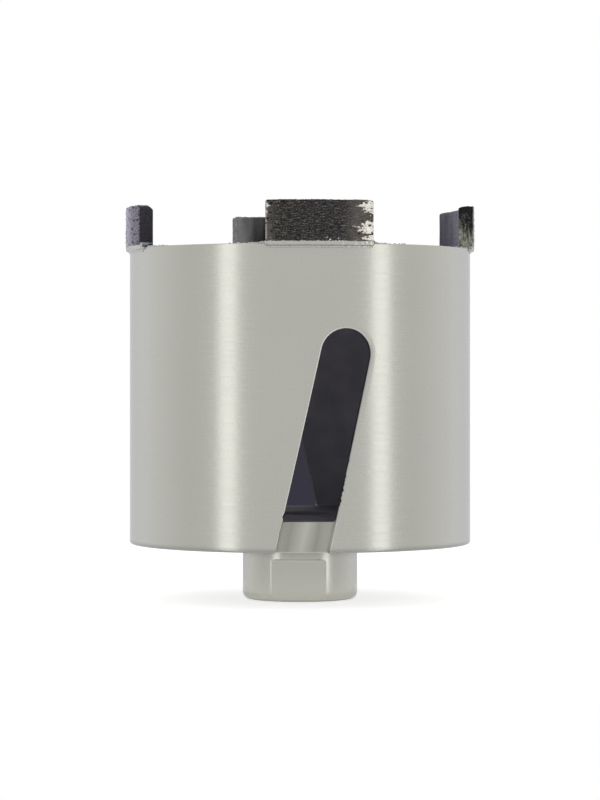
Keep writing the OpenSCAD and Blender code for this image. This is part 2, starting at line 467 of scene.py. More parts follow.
def outline(which, extra, bend=60):
    """Edge of a slot, widened by extra: (sideways distance, height, direction into the wall)."""
    legs, foot = [], FOOT_LEVELS[-1]
    for side in (-1, 1):
        top = END.y - side * (HALF + extra) * math.sin(LEAN)
        legs.append([])
        for z in FOOT_LEVELS + [foot + (top - foot) * i / LEG_STEPS for i in range(1, LEG_STEPS + 1)]:
            half = HALF + extra + nick(which, side, z) * min(1, (top - z) / 3)
            along = (z - END.y + side * half * math.sin(LEAN)) / math.cos(LEAN)
            p = END + UP * along + SIDE * side * half
            legs[-1].append((p.x, z, SIDE * side))
    turn = []
    for i in range(1, bend):
        a = math.pi * i / bend
        out = SIDE * -math.cos(a) + UP * math.sin(a)
        p = END + out * (HALF + extra)
        turn.append((p.x, p.y, out))
    return legs[0] + turn + legs[1][::-1]


def in_slot(angle, z, radius, extra):
    """Whether a point of the wall lies inside either slot, widened by extra."""
    for which, at in enumerate(SLOT_ANGLES):
        off = (angle - at + 180) % 360 - 180
        if abs(off) < 80:
            d = Vector((radius * math.sin(math.radians(off)), z)) - END
            along, across = d.dot(UP), d.dot(SIDE)
            half = HALF + extra + (nick(which, math.copysign(1, across), z) if along <= 0 else 0)
            if (abs(across) < half) if along <= 0 else (d.length < half):
                return True
    return False


print("points on a slot's edge:", len(outline(0, 0)))

# %% Barrel mesh
class Shell:
    """Collects points with their normals, and faces, each face with a fixed normal or none."""

    def __init__(self):
        self.points, self.normals, self.cuts, self.faces, self.flat = [], [], [], [], []

    def point(self, p, n, bare=0.0, edge=0.0, milled=0.0):
        self.points.append(p)
        self.normals.append(n.normalized())
        self.cuts += (bare, edge, milled, 1.0)
        return len(self.points) - 1

    def face(self, ids, flat=None):
        ids = list(dict.fromkeys(ids))
        if len(ids) < 3:
            return
        a, b, c = (self.points[i] for i in ids[:3])
        facing = (b - a).cross(c - a)
        toward = flat or sum((self.normals[i] for i in ids), Vector())
        self.faces.append(ids if facing.dot(toward) >= 0 else ids[::-1])
        self.flat.append(flat)

    def bridge(self, first, second, flat=None):
        for i in range(len(first) - 1):
            self.face([first[i], first[i + 1], second[i + 1], second[i]], flat)

    def mesh(self, name):
        made = bpy.data.meshes.new(name)
        made.from_pydata([p / 1000 for p in self.points], [], self.faces)
        made.attributes.new("cut", "FLOAT_COLOR", "POINT").data.foreach_set("color", self.cuts)
        bare = self.cuts[::4]
        made.polygons.foreach_set("material_index", [int(min(bare[v] for v in ids)) for ids in self.faces])
        made.shade_smooth()
        made.normals_split_custom_set([self.flat[f.index] or self.normals[v] for f in made.polygons
                                       for v in f.vertices])
        return made


SEAM, STEP = -78.0, 2.5
DISHED, TILT = 1.0, 0.1
ROWS = sorted({round(z, 5) for z in FOOT_LEVELS} | {14.6 + 2.62 * i for i in range(26)}
              | {round(Z_RIM - RIM_ROUND * (1 - math.cos(math.radians(a))), 5) for a in range(0, 91, 22)})
COLUMNS = [SEAM + STEP * i for i in range(int(360 / STEP) + 1)]


def sheet(shell, outside, extra):
    """One face of the wall, closed at the seam. Gives back its foot, its rim, and each slot's edge."""
    sign, radius, clear = (1, OUTER, 1.8) if outside else (-1, INNER, 0.75)
    spots = [(a, z) for a in COLUMNS for z in ROWS
             if not in_slot(a, z, OUTER, clear) and not in_slot(a, z, INNER, clear)]
    if outside:
        spots += [(at + math.degrees(math.asin(t / radius)), z) for at in SLOT_ANGLES
                  for t, z, _ in outline(0, extra + DISHED)[::3]]
    grid, edges, outs = list(spots), [], {}
    for which, at in enumerate(SLOT_ANGLES):
        start = len(spots)
        for t, z, out in outline(which, extra):
            outs[len(spots)] = which, out
            spots.append((at + math.degrees(math.asin(t / radius)), z))
        edges += [(i, i + 1) for i in range(start, len(spots) - 1)]
    flat = [Vector((a * math.pi / 180 * radius, z)) for a, z in spots]
    unrolled, _, triangles, *_ = delaunay_2d_cdt(flat, edges, [], 0, 1e-6)
    made, points = [], {}
    for i, (a, z) in enumerate(spots):
        r, lean = wall_at(z, outside)
        normal = polar(a, math.cos(lean) * sign, math.sin(lean))
        if outside and i in outs:
            which, out = outs[i]
            normal -= TILT * (polar(SLOT_ANGLES[which] + 90, 1, 0) * out.x + Vector((0, 0, out.y)))
        key = ("seam", z) if min(abs(a - SEAM), abs(a - SEAM - 360)) < 1e-6 else i
        if key not in points:
            points[key] = shell.point(polar(a, r, z), normal, 0.0 if outside else 1.0)
        made.append(points[key])
    for corners in triangles:
        middle = sum((unrolled[i] for i in corners), Vector((0, 0))) / 3
        if not in_slot(math.degrees(middle.x / radius), middle.y, radius, extra):
            shell.face([made[i] for i in corners])
    foot, rim = (sorted((a, made[i]) for i, (a, z) in enumerate(grid) if z == level) for level in (ROWS[0], ROWS[-1]))
    return foot, rim, [[made[i] for i in outs if outs[i][0] == which] for which in range(2)]


def rounded_edge(shell, which, outside, rounding, edge, steps=4):
    """Rolls a slot's edge from the wall's face into the cut, and gives back every loop."""
    loops, sign, across = [edge], 1 if outside else -1, polar(SLOT_ANGLES[which] + 90, 1, 0)
    for i in range(1, steps + 1):
        a = math.pi / 2 * i / steps
        loop = []
        for t, z, out in outline(which, rounding * (1 - math.sin(a))):
            r, lean = wall_at(z, outside)
            r -= sign * rounding * (1 - math.cos(a))
            angle = SLOT_ANGLES[which] + math.degrees(math.asin(t / r))
            inward = across * -out.x + Vector((0, 0, -out.y))
            face = polar(angle, math.cos(lean) * sign, math.sin(lean))
            bare = 1.0 if i == steps or not outside else 0.0
            rolled = math.sin(a) if outside and i < steps else 0.0
            above = clamp(z - Z_DISC + 0.3)
            # Paler paint on the rounding along the left leg and round the top of the slot: partly worn, partly a
            # painted highlight where a soft box catches the edge.
            rubbed_and_glint = above * rolled * clamp(0.4 - 0.9 * out.x + 2 * max(0, out.y))
            # Milled on the cut face; on the rounding of the right leg the same channel greys the paint, a painted
            # shade.
            milled = above if i == steps else above * rolled * clamp(0.3 + out.x - 2 * max(0, out.y))
            normal = face * math.cos(a) + inward * math.sin(a)
            loop.append(shell.point(polar(angle, r, z), normal, bare, rubbed_and_glint, milled))
        shell.bridge(loops[-1], loop)
        loops.append(loop)
    return loops


shell = Shell()
EDGE_OUT, EDGE_IN = 0.4, 0.2
foot_out, rim_out, edge_out = sheet(shell, True, EDGE_OUT)
foot_in, rim_in, edge_in = sheet(shell, False, EDGE_IN)
down, up = Vector((0, 0, -1)), Vector((0, 0, 1))
ends_out, ends_in = [], []
for which in range(2):
    outer_loops = rounded_edge(shell, which, True, EDGE_OUT, edge_out[which])
    inner_loops = rounded_edge(shell, which, False, EDGE_IN, edge_in[which])
    shell.bridge(outer_loops[-1], inner_loops[-1])
    for loops, ends in ((outer_loops, ends_out), (inner_loops, ends_in)):
        ends.append(([loop[0] for loop in loops], [loop[-1] for loop in loops][::-1]))
shell.bridge([i for _, i in rim_out], [i for _, i in rim_in], up)


def foot_chain(foot, ends, slot):
    """The foot's points from one slot's right side to the next one's left."""
    low, high = SLOT_ANGLES
    if slot == 0:
        chain = [i for a, i in foot if low < a < high]
    else:
        chain = [i for a, i in foot if a > high] + [i for a, i in foot if a < low]
    return ends[slot][1] + chain + ends[1 - slot][0]


for slot in (0, 1):
    shell.bridge(foot_chain(foot_out, ends_out, slot), foot_chain(foot_in, ends_in, slot), down)
barrel = to_object("barrel_painted", shell.mesh("barrel_painted"), [barrel_finish, barrel_inside])
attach(barrel, "root")
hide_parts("barrel")
print("barrel:", len(barrel.data.polygons), "faces")

# %% [markdown]
# ## Disc and hub
# The disc that closes the barrel and the hub below it are turned from one bar, and two
# flats are milled on the hub for a spanner. Turning is a profile that goes round the axis,
# so the mesh is one ring of points for each point of the profile. A flat only pulls the ring
# in: the radius is the smaller of the profile's and the flat's, blended over a fraction of a
# millimetre so that paint softens the edge between them.

# %% Disc and hub
FLAT, FLAT_TOP, FLAT_CORNER, FLAT_TURN = 12.0, 9.9, 0.6, -1.7
HUB, DISC, BORE, SQUASH = 13.5, 38.0, 8.0, 0.74


def arc(centre_r, centre_z, radius, start, end, steps=8):
    """Points of a profile on an arc, from one angle to another in degrees."""
    return [(centre_r + radius * math.cos(math.radians(start + (end - start) * i / steps)),
             centre_z + radius * math.sin(math.radians(start + (end - start) * i / steps)))
            for i in range(steps + 1)]


def flat_distance(z):
    """Distance of the milled flat from the axis at a height; the cutter's corner bends it out."""
    lift = z - (FLAT_TOP - FLAT_CORNER)
    return FLAT if lift <= 0 else FLAT + FLAT_CORNER - math.sqrt(max(FLAT_CORNER ** 2 - lift ** 2, 0))


def soft_min(a, b, width):
    """The smaller of two, with the corner between them rounded over a width."""
    h = max(width - abs(a - b), 0) / width
    return min(a, b) - h * h * width / 4


column_angles = sorted({round(a % 360, 3) for a in range(0, 360, 2)}
                       | {round((s + FLAT_TURN + t * (19 + 0.4 * i)) % 360, 3) for s in (0, 180) for t in (-1, 1)
                          for i in range(31)})
side_levels = [1.9 + 0.37 * i for i in range(21)] + [FLAT_TOP - FLAT_CORNER + 0.05 * i for i in range(1, 13)]
profile = [(9.0, 0.0), (9.15, 0.0)] + [(9.3 + 0.33 * i, 0.0) for i in range(9)]
profile += [((1 - SQUASH) * HUB + SQUASH * r, z) for r, z in arc(11.6, 1.9, 1.9, -90, 0, 14)]
profile += [(HUB, z) for z in side_levels[1:] if z <= FLAT_TOP]
flat_rows = len(profile)
profile += [(HUB, FLAT_TOP + 0.002)] + [(HUB, FLAT_TOP + 0.15 + 0.43 * i) for i in range(5)]
profile += arc(HUB + 0.8, 12.2, 0.8, 180, 90) + [(14.6, Z_CLOSED), (37.5, Z_CLOSED)]
profile += arc(DISC - 0.25, Z_CLOSED + 0.25, 0.25, -90, 0, 4) + [(DISC, 13.4), (DISC, 16.0), (DISC, 19.6)]
profile += arc(DISC - 0.25, Z_DISC - 0.25, 0.25, 0, 90, 4) + [(r, Z_DISC) for r in (37.5, 24.0, 9.2, 9.0)]
profile += [(BORE, z) for z in (19.0, 18.9, 1.1, 1.0)]


def join_rings(mesh, rings):
    """Faces between each ring of points and the next."""
    for one, two in zip(rings, rings[1:]):
        for i in range(len(one)):
            j = (i + 1) % len(one)
            mesh.faces.new((one[i], one[j], two[j], two[i]))


hub_mesh = bmesh.new()
rings = []
for row, (r, z) in enumerate(profile):
    ring = []
    for angle in column_angles:
        reach = r
        if row < flat_rows and r > 9.3:
            across = abs(math.cos(math.radians(angle - FLAT_TURN)))
            if across > 0.3:
                reach = soft_min(r, flat_distance(z) / across, 0.22)
        ring.append(hub_mesh.verts.new(polar(angle, reach, z) / 1000))
    rings.append(ring)
join_rings(hub_mesh, rings + rings[:1])
bmesh.ops.recalc_face_normals(hub_mesh, faces=hub_mesh.faces)
hub = to_object("hub_painted", hub_mesh, [hub_finish])
hub.data.shade_smooth()
hub.data.set_sharp_from_angle(angle=math.radians(34))


def apply_modifiers(thing):
    """Turns an object with modifiers into the plain mesh that they give."""
    bpy.context.view_layer.update()
    old = thing.data
    thing.data = bpy.data.meshes.new_from_object(thing.evaluated_get(bpy.context.evaluated_depsgraph_get()))
    thing.modifiers.clear()
    thing.data.name = thing.name
    if old.users == 0:
        bpy.data.meshes.remove(old)


weigh = hub.modifiers.new("weigh normals", "WEIGHTED_NORMAL")
weigh.keep_sharp = True
apply_modifiers(hub)
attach(hub, "root")
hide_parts("threaded_hub")
print("hub:", len(hub.data.polygons), "faces,", len(profile), "rings")

# %% [markdown]
# ## Thread
# The bore has a spindle thread. A thread is one ridge that follows a helix, so Geometry
# Nodes draw the helix as a curve and sweep a small trapezium along it. Its pitch and depth
# are inputs of the tree, so that another thread is two numbers away.

# %% Thread
def new_tree(name, sizes):
    """A Geometry Nodes tree with its inputs, and the sockets that hand them over."""
    tree = Tree(bpy.data.node_groups.new(name, "GeometryNodeTree"))
    kinds = {int: "Int", float: "Float", bpy.types.Material: "Material"}
    tree.raw.interface.new_socket("Geometry", in_out="INPUT", socket_type="NodeSocketGeometry")
    for size, start in sizes.items():
        kind = "NodeSocket" + kinds[type(start)]
        tree.raw.interface.new_socket(size, in_out="INPUT", socket_type=kind).default_value = start
    tree.raw.interface.new_socket("Geometry", in_out="OUTPUT", socket_type="NodeSocketGeometry")
    return tree, tree.add("NodeGroupInput").outputs


def finish_tree(tree, geometry, material):
    """Ends a tree the same way each time: real faces in place of instances, and one finish."""
    real = tree.first("GeometryNodeRealizeInstances", {0: geometry})
    painted = tree.first("GeometryNodeSetMaterial", {"Geometry": real, "Material": material})
    tree.add("NodeGroupOutput", {0: painted})


def run_tree(thing, tree, **sizes):
    """Puts the tree on an object, sets its inputs by their identifiers, and applies it."""
    modifier = thing.modifiers.new(tree.raw.name, "NODES")
    modifier.node_group = tree.raw
    for item in tree.raw.interface.items_tree:
        if item.in_out == "INPUT" and item.name in sizes:
            modifier[item.identifier] = sizes[item.name]
    apply_modifiers(thing)


thread_steel, tree, shader = new_material("thread_steel")
stain = tree.noise(tree.place(), 700.0, 4.0)
tree.fill(shader, {"Base Color": tree.blend(stain, (92, 90, 92), (150, 148, 146)),
                   "Roughness": tree.remap(stain, 0.0, 1.0, 0.3, 0.55), "Metallic": 0.85})

helix, given = new_tree("thread_ridge", {"Pitch": 0.002, "Length": 0.018, "Bore Radius": 0.008, "Depth": 0.0011,
                                         "Finish": thread_steel})
turns = helix.math("DIVIDE", given["Length"], given["Pitch"])
inset = helix.math("SUBTRACT", given["Bore Radius"], helix.times(given["Depth"], 0.5))
spiral = helix.first("GeometryNodeCurveSpiral", {"Resolution": 64, "Rotations": turns, "Start Radius": inset,
                                                 "End Radius": inset, "Height": given["Length"]})
upright = helix.first("GeometryNodeSetCurveNormal", {"Curve": spiral}, mode="Z_UP")
root, crest = (helix.times(given["Pitch"], share) for share in (0.86, 0.14))
section = helix.first("GeometryNodeCurvePrimitiveQuadrilateral",
                      {"Height": given["Depth"], "Bottom Width": root, "Top Width": crest, "Offset": 0.0},
                      mode="TRAPEZOID")
swept = helix.first("GeometryNodeCurveToMesh", {"Curve": upright, "Profile Curve": section, "Fill Caps": True})
lifted = helix.first("GeometryNodeTransform", {"Geometry": swept, "Translation": (0, 0, 0.001)})
finish_tree(helix, lifted, given["Finish"])
thread = to_object("spindle_thread", bpy.data.meshes.new("spindle_thread"))
run_tree(thread, helix, Pitch=0.002)
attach(thread, "root")
reach = [math.hypot(v.co.x, v.co.y) * 1000 for v in thread.data.vertices]
print("thread:", len(thread.data.polygons), "faces, radius", round(min(reach), 2), "to", round(max(reach), 2))

# %% [markdown]
# ## Segment finish
# A segment is metal powder pressed and sintered round diamond grit. Its outer face is ground
# along the rim, so its pattern is long thin streaks, with bright metal here and there; on the
# front segment's right end that bright metal is a painted highlight of a soft box, and the pale
# corner at the left end of the front and right segments is partly worn and partly a painted
# highlight. Its inner face is smooth and greyish; its darkening towards one place is painted
# shade, and the right segment's violet inner face a painted reflection. The left segment's outer
# face is painted paler and bluish where it turns away, a painted sheen. Its ends are nearly
# black, and its pits are coloured dark, painted shade in the holes. No two have worn alike, so
# one function gives each its own finish. The mesh carries a "lay" attribute: where each point
# was while the segment was still a straight block, in millimetres. Streaks drawn on it follow
# the curve, which Object coordinates would not do on the segments at the sides.

# %% Segment finish
HALF_LENGTH = 11.85
TONE_PLACES = (0.4, 0.475, 0.54, 0.61)
DARK = ((22, 20, 21), (41, 39, 39), (68, 66, 64), (122, 119, 114))
# BLUISH, the left segment's outer face, is a painted sheen where that face turns away.
BLUISH = ((44, 40, 51), (92, 87, 101), (119, 114, 131), (168, 163, 183))
# VIOLET, on the right segment's inner face, is a painted reflection.
GREYISH, VIOLET = ((62, 60, 68), (108, 105, 120)), ((80, 77, 90), (148, 143, 166))


def sintered(name, seed, outer, inner, lighter, edge, pale, pit=(6, 6, 7), ends=((28, 27, 29), (42, 40, 43)),
             gloss=0.12):
    """One segment's finish: four tones of its ground face, two of its inner face and of its ends, dark to light.

    The inner face gets lighter both ways from a place along the segment, over a distance in
    millimetres; that darkening is painted shade. edge is how brightly the corner at the left end
    is painted pale, partly worn and partly a painted highlight, and how far in.
    pale has, for each zone, where the ground face starts and ends to get paler, how much,
    and its tone there. On the left segment that paler zone is a painted sheen.
    """
    made, tree, shader = new_material(name)
    lay = tree.attribute("lay", "Vector")
    bright, pitted, end_face = tree.split(tree.attribute("wear_and_glint"))
    along, across, _ = tree.split(lay)

    def streaks(scale, detail):
        """Noise stretched along the rim: scale gives its fineness along, across and up."""
        inputs = {"Vector": lay, "Location": (seed * 60.0, 0, 0), "Scale": scale}
        return tree.noise(tree.first("ShaderNodeMapping", inputs), 1.0, detail)

    ground, speck = streaks((0.7, 2.0, 5.4), 5.0), streaks((3.4, 3.0, 4.2), 3.0)
    mingled = tree.blend(0.5, ground, speck)
    at_left, further = (tree.ramp(mingled, *zip(TONE_PLACES, tones)) for tones in (DARK, outer))
    tone = tree.blend(tree.between(along, -8.0, -3.0), at_left, further)
    for start, full, amount, pale_tone in pale:
        way = math.copysign(1, full - start)
        paler = tree.times(tree.between(along, start, full, 0.0, amount),
                          tree.between(along, full + 4 * way, full + 9 * way, 1.0, 0.0))
        tone = tree.blend(paler, tone, pale_tone)
    cast = tree.ramp(streaks((0.35, 0.5, 0.5), 2.0), (0.4, (1.02, 0.995, 0.97, 1)), (0.6, (0.97, 0.97, 1.03, 1)))
    tone = tree.blend(1.0, tone, cast, "MULTIPLY")
    # Bright metal: worn, and on the front segment's right end a painted highlight of a soft box.
    torn = tree.more(bright, mingled, 2.4)
    glint_and_metal_tone = tree.ramp(mingled, (0.33, (84, 80, 75)), (0.43, (188, 184, 174)), (0.53, (244, 240, 230)))
    tone = tree.blend(tree.between(torn, 1.5, 1.9), tone, glint_and_metal_tone)
    # The corner at the left end is painted pale: partly worn, partly a painted highlight from a soft box.
    near_end = tree.between(tree.times(along, -1.0), HALF_LENGTH - 1.6 * edge[1],
                            HALF_LENGTH - 0.5 * edge[1])
    rubbed_and_glint = tree.times(near_end, tree.between(speck, 0.36, 0.54, 0.4 * edge[0], edge[0]))
    tone = tree.blend(rubbed_and_glint, tone, (178, 176, 177))

    # Inner face: its darkening towards one place is painted shade.
    away = tree.math("ABSOLUTE", tree.math("SUBTRACT", along, lighter[0]))
    slope = tree.between(away, 0.0, lighter[1], -0.03, 0.53)
    bands = tree.more(slope, streaks((0.4, 0.5, 0.06), 2.0), 0.5)
    inner_tone = tree.ramp(bands, (0.2, inner[0]), (0.8, inner[1]))
    tone = tree.blend(tree.between(across, 37.5, 37.75, 1.0, 0.0), tone, inner_tone)

    scuffs = streaks((3.0, 3.6, 0.8), 5.0)
    end_tone = tree.ramp(scuffs, (0.42, ends[0]), (0.62, ends[1]))
    scuffed = tree.ramp(scuffs, (0.35, (86, 86, 77)), (0.48, (146, 147, 132)), (0.62, (194, 195, 186)))
    end_face = tree.times(end_face, tree.between(across, 40.75, 40.95, 1.0, 0.0))
    tone = tree.blend(end_face, tone, tree.blend(bright, end_tone, scuffed))
    # Pits are coloured dark: painted shade in the holes.
    tree.fill(shader, {"Base Color": tree.blend(pitted, tone, pit), "Coat Weight": 0.5 * gloss,
                       "Coat Roughness": 0.35, "Specular IOR Level": gloss,
                       "Metallic": tree.remap(bright, 0.0, 1.0, 0.25, 0.8),
                       "Roughness": tree.remap(ground, 0.3, 0.7, 0.62, 0.42),
                       "Normal": tree.bump((ground, 0.5, 0.00003), (speck, 0.5, 0.00006))})
    print("material:", made.name)
    return made


finishes = {
    "front": sintered("sintered_front", 1, DARK, GREYISH, (-HALF_LENGTH, 23.7), (1.0, 0.35),
                      ((-8.8, -11.6, 0.3, (136, 131, 121)), (4.2, 8.2, 0.34, (132, 126, 118)))),
    # Right: violet inner face, a painted reflection, that darkens towards one place as painted shade.
    "right": sintered("sintered_right", 2, DARK, VIOLET, (7.0, 18.8), (1.0, 1.2),
                      ((-4.0, -9.0, 0.2, (136, 133, 136)),)),
    # Back: the inner face darkens towards one place, painted shade.
    "back": sintered("sintered_back", 3, DARK, ((14, 14, 16), (168, 166, 165)), (3.8, 10.7), (0.0, 0.4),
                     ((0.0, 12.0, 0.1, (120, 116, 112)),), ends=((116, 114, 114), (146, 144, 144))),
    # Left: the bluish outer face and its pale zone are a painted sheen.
    "left": sintered("sintered_left", 4, BLUISH, GREYISH, (-HALF_LENGTH, 23.7), (0.0, 0.4),
                     ((8.5, 1.0, 0.6, (196, 192, 208)),), (38, 34, 43), ((37, 34, 41), (53, 49, 56)), gloss=0.3),
}

# %% [markdown]
# ## Segments
# Each segment starts as a straight block with a fine grid on every face. Its corners are
# rounded, its top is worn wavy and bevelled towards the inside, and small pits are pushed in
# where grit has broken out, mostly near the ends. The right one has worn lower at its rear
# end. Only then is the block bent round the axis. Displacement in a material would be
# quicker to make, but pits this close to the silhouette need real depth. An attribute carries
# to the material the bright patches (worn metal, and on the front segment's right end a
# painted highlight), the pits and the end faces.

# %% Segments
SEG_LENGTH, SEG_FOOT, SEG_TOP = 2 * HALF_LENGTH, 82.4, 91.7
SEG_IN, SEG_OUT = 37.4, 41.0
SEG_MID = (SEG_IN + SEG_OUT) / 2
PLAIN = dict(bevel=0.2, rise=0.0, pits=0.1, longer=1.0, wider=1.0, wavy=1.0, soften=0.2, dabs=0,
             bare=(0, 0))
SEGMENTS = {  # toes: how tall the braze runs out left and right; patches: side, height, half height, reach
    "front": dict(at=6.4, left=0.6, right=0.8, bevel=0.0, pits=0.06, longer=1.5, scuff=0.1, dabs=1,
                  toes=(0.35, 1.0), patches=((1, 90.2, 1.6, 3.3), (1, 85.4, 1.4, 3.6), (1, 83.2, 0.6, 3.2),
                                             (-1, 90.4, 0.5, 1.0), (-1, 88.9, 0.4, 0.8))),
    "right": dict(at=98.9, left=0.25, right=0.5, bevel=0.4, rise=0.35, wavy=2.0, scuff=1.0, toes=(0.8, 1.0),
                  bare=(0.5, 0), patches=((1, 88.6, 1.2, 2.6), (1, 84.2, 0.6, 1.8))),
    "back": dict(at=187.0, left=0.5, right=0.9, wavy=4.0, scuff=0.3, toes=(1.0, 0.7),
                 patches=((-1, 89.2, 1.0, 3.2), (-1, 84.6, 1.2, 2.4), (1, 86.6, 0.6, 1.6))),
    "left": dict(at=278.3, left=1.3, right=1.0, bevel=0.8, pits=0.2, longer=2.4, wider=1.3, wavy=2.0,
                 soften=0.25, scuff=0.0, toes=(1.0, 1.5), bare=(0, 1),
                 patches=((-1, 89.4, 0.8, 2.6), (-1, 85.0, 1.0, 2.2))),
}
SEGMENTS = {side: {**PLAIN, **form} for side, form in SEGMENTS.items()}


def bend_round(s, r, z, at):
    """Bends a straight block's point round the axis; s runs along the middle of the segment."""
    return polar(at + math.degrees(s / SEG_MID), r, z)


def round_corner(s, z, left, right):
    """Rounds the two upper corners of the block, as seen from outside."""
    size = right if s > 0 else left
    ds, dz = abs(s) - (HALF_LENGTH - size), z - (SEG_TOP - size)
    if ds > 0 and dz > 0:
        factor = max(ds, dz) / math.hypot(ds, dz)
        s = math.copysign(HALF_LENGTH - size + ds * factor, s)
        z = SEG_TOP - size + dz * factor
    return s, z


def pit_depth(s, z, seed, share, longer=1.0, wider=1.0):
    """How deep the face is pitted at a point, 0 to 1: round holes, in a share of the places."""
    spot = Vector((s * 1.1 / longer, z * 1.4, seed * 9.7))
    centre = noise.voronoi(spot)[1][0]
    distance = math.hypot(spot.x - centre.x, spot.y - centre.y)
    chance = abs(math.sin(centre.x * 12.9898 + centre.y * 78.233 + centre.z * 37.7)) * 43758.5453 % 1
    near_end = max(0, 1 - (HALF_LENGTH - abs(s)) / 3.2)
    if chance > share + 0.55 * near_end:
        return 0.0
    size = wider * (0.18 + 0.2 * (chance * 7 % 1))
    return clamp(1.5 * (1 - (distance / size) ** 2))


def glint_and_wear_at(s, z, patches, seed):
    """How much bright metal shows on the outer face: ragged fans that open towards an end. On the front segment's right
    end they are a painted highlight of a soft box, elsewhere worn metal.
    """
    best = 0.0
    for side, height, half, reach in patches:
        rag = (wave(s * 0.5, z * 2.6, seed + 3.3) + 0.5 * wave(s * 1.5, z * 7, seed)
               + 0.4 * wave(s * 2.2, z * 9, seed + 1.7))
        inward, off = HALF_LENGTH - s * side, (z - height) / half
        fade = 1.15 - inward / reach - 0.75 * off * off + 0.7 * rag
        best = max(best, clamp(fade * 2.2))
    return best


def scuffed_at(r, z, seed):
    """How far an end face is scuffed light: most of it at its foot, specks near its inner edge."""
    up, out = (z - SEG_FOOT) / (SEG_TOP - SEG_FOOT), (r - SEG_IN) / (SEG_OUT - SEG_IN)
    rag = wave(r * 2.6, z * 0.6, seed + 2.2)
    low = 1.5 - 1.85 * up - 0.9 * out * (0.3 + up) + 0.6 * rag
    specks = 4.0 * (wave(r * 7.3, z * 6.1, seed + 6.1) - 0.24) * (1.1 - out) if up < 0.85 else 0.0
    return clamp(max(low, specks))


def block_grid(counts):
    """A block's surface as squares: grid places with their numbers, and faces."""
    spots, faces = {}, []
    for axis in range(3):
        u, v = (axis + 1) % 3, (axis + 2) % 3
        for end in (0, counts[axis]):
            for i in range(counts[u]):
                for j in range(counts[v]):
                    corners = []
                    for a, b in ((0, 0), (1, 0), (1, 1), (0, 1)):
                        place = {axis: end, u: i + a, v: j + b}
                        corners.append(spots.setdefault((place[0], place[1], place[2]), len(spots)))
                    faces.append(corners if end else corners[::-1])
    return spots, faces


def make_segment(name, form, finish, seed, counts=(158, 18, 62)):
    """The segment as a mesh with its "lay" and "wear" attributes."""
    low = (-HALF_LENGTH, SEG_IN, SEG_FOOT)
    size = (SEG_LENGTH, SEG_OUT - SEG_IN, SEG_TOP - SEG_FOOT)
    soften = form["soften"]
    spots, faces = block_grid(counts)
    points, lays, wear_and_glint_values = [], [], []
    for key in spots:
        s, r, z = (low[n] + size[n] * key[n] / counts[n] for n in range(3))
        lays.append((s, r, z))
        outer, inner = key[1] == counts[1], key[1] == 0
        ends, top = key[0] in (0, counts[0]), key[2] == counts[2]
        s, z = round_corner(s, z, form["left"], form["right"])
        core = [min(max(value, low[n] + soften), low[n] + size[n] - soften) for n, value in enumerate((s, r, z))]
        if key[2] == 0 or z < SEG_FOOT + soften:
            core[2] = z
        away = Vector((s - core[0], r - core[1], z - core[2]))
        if away.length > 1e-9:
            away *= max(abs(a) for a in away) / away.length
        s, r, z = (core[n] + away[n] for n in range(3))
        pit = bright = 0.0
        if outer:
            pit = pit_depth(s, z, seed, form["pits"], form["longer"], form["wider"])
            # Bright patches: worn metal, and on the front segment's right end a painted highlight.
            bright = glint_and_wear_at(s, z, form["patches"], seed)
            dabs = 3.0 * (wave(s * 3.4, z * 2.2, seed + 4.4) - 0.12)
            low_middle = max(0, 1 - abs(s - 2.5) / 4.5) * max(0, 1 - (z - SEG_FOOT) / 1.7)
            bright = max(bright, form["dabs"] * min(0.6, dabs * low_middle))
            r -= 0.05 + 0.02 * wave(s * 0.2, z * 5, seed) + 0.3 * pit
        elif inner:
            r += 0.03 + 0.03 * wave(s * 1.1, z * 0.2, seed) + 0.01 * wave(s * 4, z * 4, seed)
        if ends:
            pit = max(pit, 0.6 * pit_depth(r * 3, z, seed + 5, form["pits"]))
            bright = form["scuff"] * scuffed_at(r, z, seed)
            s -= math.copysign(0.02 + 0.05 * abs(wave(r * 1.8, z * 1.3, seed + 1)) + 0.1 * pit, s)
        if top:
            wavy = 0.11 * wave(s * 0.33, r * 0.3, seed + 8) + 0.066 * form["wavy"] * wave(s * 1.1, r, seed)
            z -= max(0.0, 0.09 + wavy + 0.03 * wave(s * 5, r * 4, seed))
        upper = clamp((z - SEG_TOP + 3) / 3)
        z -= upper * form["bevel"] * max(0, 1 - (r - SEG_IN) / 1.3) ** 1.6
        z += upper * form["rise"] * (0.5 - s / SEG_LENGTH)
        points.append(bend_round(s, r, z, form["at"]) / 1000)
        wear_and_glint_values.append((bright, pit, 1.0 if ends and not outer else 0.0, 1.0))
    mesh = bpy.data.meshes.new(name)
    mesh.from_pydata(points, [], faces)
    mesh.shade_smooth()
    for what, kind, field, values in (("lay", "FLOAT_VECTOR", "vector", lays), ("wear_and_glint", "FLOAT_COLOR", "color", wear_and_glint_values)):
        made = mesh.attributes.new(what, kind, "POINT")
        made.data.foreach_set(field, [c for value in values for c in value])
    return to_object(name, mesh, [finish])


segments = {}
for seed, (side, form) in enumerate(SEGMENTS.items(), 1):
    piece = make_segment("diamond_segment_" + side, form, finishes[side], seed)
    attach(piece, "root")
    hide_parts("segment_" + side)
    segments[side] = piece
    print(piece.name, len(piece.data.polygons), "faces")

# %% [markdown]
# ## Diamond grit
# What cuts is the grit: grains a fraction of a millimetre across that stand a little proud
# of the metal. There are hundreds on each segment, so Geometry Nodes scatter them. One
# small faceted grain is instanced on random points of the segment's faces, turned and sized
# at random from a fixed seed, and made real faces at the end. The grains keep clear of the
# ends, where wear has taken them.

